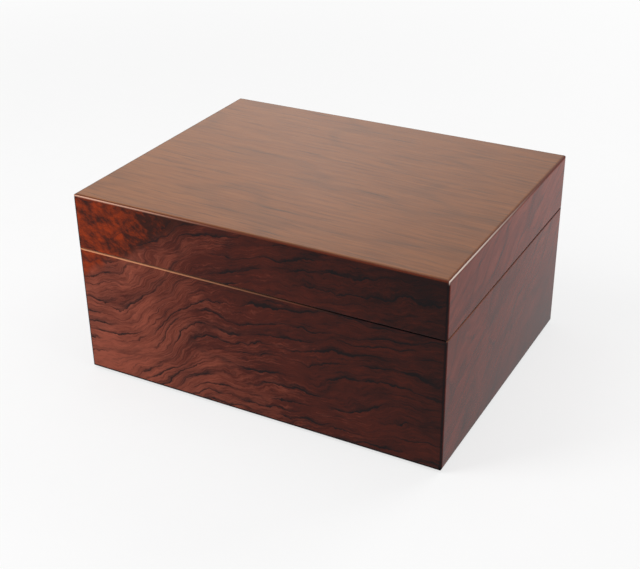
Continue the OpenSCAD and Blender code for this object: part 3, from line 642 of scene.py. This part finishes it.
foam_size = foam_high - foam_low - Vector((foam_ease, foam_ease, foam_ease))
foam = rounded_block(foam_size, (foam_low + foam_high) / 2, foam_corner, 5)
settle(foam, "foam")
use_modifier(foam, "REMESH", mode="VOXEL", voxel_size=foam_voxel)
cells = bpy.data.textures.new("foam_cells", "CLOUDS")
cells.noise_scale = cell_size
cells.noise_depth = 2
use_modifier(foam, "DISPLACE", texture=cells, texture_coords="LOCAL", strength=cell_depth, mid_level=0.9)
bpy.ops.object.shade_smooth()

sponge, shade = new_finish("green_foam")
co = shade.make("ShaderNodeTexCoord", out="Object")
cell = shade.make("ShaderNodeTexVoronoi", {"feature": "F1"}, {"Vector": co, "Scale": 900.0})
wet = mottled(shade, place_in_mm(shade), 12, 3.0)
walls = ease(shade, cell, 0.15, 0.65)
surface(shade, {
    "Base Color": blend_of(
        shade, 0.75 * walls + 0.25 * wet, (0.055, 0.085, 0.022, 1), (0.220, 0.300, 0.095, 1)),
    "Roughness": 0.85 - 0.25 * wet,
    "Normal": relief(shade, 0.9, 0.0006, walls),
})
foam.data.materials.append(sponge)
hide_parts("humidifier_foam")
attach(foam, "lid")

# Hygrometer
# A turned brass case with a pressed-on bezel and a flat glass. A spiral on the calibration spindle
# turns the needle over an ivory dial with a printed scale. A ring magnet holds it under the lid.
finish_nodes(brass("brass_case", 2, 11.0, 0.10), "hygrometer_case", "hygrometer_bezel")
finish_nodes(brass("brass_movement", 2, 17.0, 0.14), "hygrometer_calibrator", "hygrometer_coil")
finish_nodes(plated, "hygrometer_magnet", "hygrometer_plate")

glass, shade = new_finish("clear_glass")
touch = ease(shade, mottled(shade, place_in_mm(shade), 8, 4.0, 0.6), 0.55, 0.8)
surface(shade, {
    "Base Color": blend_of(shade, touch, (0.985, 0.995, 0.99, 1), (0.95, 0.965, 0.96, 1)),
    "Roughness": 0.01 + 0.05 * touch,
    "IOR": 1.5,
    "Transmission Weight": 1.0,
})
finish_nodes(glass, "hygrometer_lens")

ivory, shade = new_finish("ivory_dial")
place = place_in_mm(shade)
speck = mottled(shade, place, 0.4)
age = mottled(shade, place, 16, 3.0)
surface(shade, {
    "Base Color": blend_of(shade, 0.3 * speck + 0.7 * age, (0.86, 0.83, 0.72, 1), (0.76, 0.71, 0.58, 1)),
    "Roughness": 0.45 + 0.1 * speck,
    "Normal": relief(shade, 0.06, 0.0001, speck),
})
finish_nodes(ivory, "hygrometer_dial")

black_paint, shade = new_finish("black_paint")
speck = mottled(shade, place_in_mm(shade), 0.5, 3.0)
surface(shade, {
    "Base Color": blend_of(shade, speck, (0.008, 0.008, 0.009, 1), (0.022, 0.021, 0.021, 1)),
    "Roughness": 0.3 + 0.2 * speck,
    "Specular IOR Level": 0.2,
})
finish_nodes(black_paint, "hygrometer_needle")

# Scale of the dial
# Ticks, figures and a green band for the right humidity, printed on the dial. The scale runs from 0
# to 100 percent over three quarters of a turn, and its middle points to the front of the lid.
dial_low, dial_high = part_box("hygrometer_dial")
dial_centre = (dial_low + dial_high) / 2
dial_sweep = 270
ink_t = 0.00004
scale_r = 0.0218
ring_r = 0.0221
figure_r, figure_h = 0.0162, 0.0041
band_inner, band_outer = 0.0188, 0.0196
band_first, band_last = 65, 75
long_ticks = (0.0024, 0.00045, range(0, 101, 10))
short_ticks = (0.0014, 0.00025, [percent for percent in range(0, 101, 2) if percent % 10])


def dial_angle(percent):
    """The turn of a percent on the scale, from its middle."""
    return math.radians((percent / 100 - 0.5) * dial_sweep)


def dial_point(percent, radius):
    """A point on the face of the dial, in the middle of the ink."""
    turn = dial_angle(percent)
    x, y = radius * math.sin(turn), -radius * math.cos(turn)
    return Vector((dial_centre.x + x, dial_centre.y + y, dial_low.z - ink_t / 2))


def print_on_dial(piece, finish):
    """Gives a printed piece its ink and its place among the parts."""
    piece.data.materials.clear()
    piece.data.materials.append(finish)
    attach(piece, "lid")


def print_marks(marks, name):
    """Joins marks into one printed piece."""
    deselect()
    for mark in marks:
        mark.select_set(True)
    bpy.context.view_layer.objects.active = marks[0]
    bpy.ops.object.join()
    settle(marks[0], name)
    print_on_dial(marks[0], black_paint)


ticks = []
for length, width, percents in (long_ticks, short_ticks):
    tick = rounded_block((width, length, ink_t), (0, 0, 0), width * 0.3, 2)
    for percent in percents:
        mark = tick.copy()
        mark.data = tick.data.copy()
        scene.collection.objects.link(mark)
        mark.location = dial_point(percent, scale_r - length / 2)
        mark.rotation_euler.z = dial_angle(percent)
        ticks.append(mark)
    bpy.data.objects.remove(tick)
print_marks(ticks, "dial_ticks")

figures = []
for percent in range(0, 101, 10):
    deselect()
    bpy.ops.object.text_add(location=dial_point(percent, figure_r), rotation=(math.pi, 0, 0))
    figure = bpy.context.object
    figure.data.body = str(percent)
    figure.data.size = figure_h
    figure.data.align_x = "CENTER"
    figure.data.align_y = "CENTER"
    figure.data.extrude = ink_t / 2
    figure.data.resolution_u = 4
    bpy.ops.object.convert(target="MESH")
    figures.append(bpy.context.object)
print_marks(figures, "dial_figures")


def dial_arc(name, inner, outer, first, last, steps, finish):
    """A printed arc between two percents: one edge, spun round the dial's centre and given thickness."""
    deselect()
    bpy.ops.mesh.primitive_plane_add(size=1, location=dial_point(first, (inner + outer) / 2))
    arc = bpy.context.object
    settle(arc, name)
    bpy.ops.object.mode_set(mode="EDIT")
    mesh = bmesh.from_edit_mesh(arc.data)
    for i, vertex in enumerate(mesh.verts):
        vertex.select = i > 1
    mesh.select_flush_mode()
    bpy.ops.mesh.delete(type="VERT")
    mesh = bmesh.from_edit_mesh(arc.data)
    for vertex, radius in zip(mesh.verts, (inner, outer)):
        vertex.co = dial_point(first, radius)
    bmesh.update_edit_mesh(arc.data)
    bpy.ops.mesh.select_all(action="SELECT")
    bpy.ops.mesh.spin(
        steps=steps, angle=dial_angle(last) - dial_angle(first), center=dial_centre, axis=(0, 0, -1))
    bpy.ops.mesh.select_all(action="SELECT")
    bpy.ops.mesh.remove_doubles(threshold=0.00001)
    bpy.ops.mesh.normals_make_consistent(inside=False)
    bpy.ops.object.mode_set(mode="OBJECT")
    use_modifier(arc, "SOLIDIFY", thickness=ink_t, offset=0.0)
    print_on_dial(arc, finish)


green_print, shade = new_finish("green_print")
dots = mottled(shade, place_in_mm(shade), 0.3)
surface(shade, {
    "Base Color": blend_of(shade, dots, (0.030, 0.120, 0.045, 1), (0.060, 0.190, 0.080, 1)),
    "Roughness": 0.45 + 0.1 * dots,
})
dial_arc("dial_ring", scale_r, ring_r, 0, 100, 80, black_paint)
dial_arc("dial_band", band_inner, band_outer, band_first, band_last, 8, green_print)
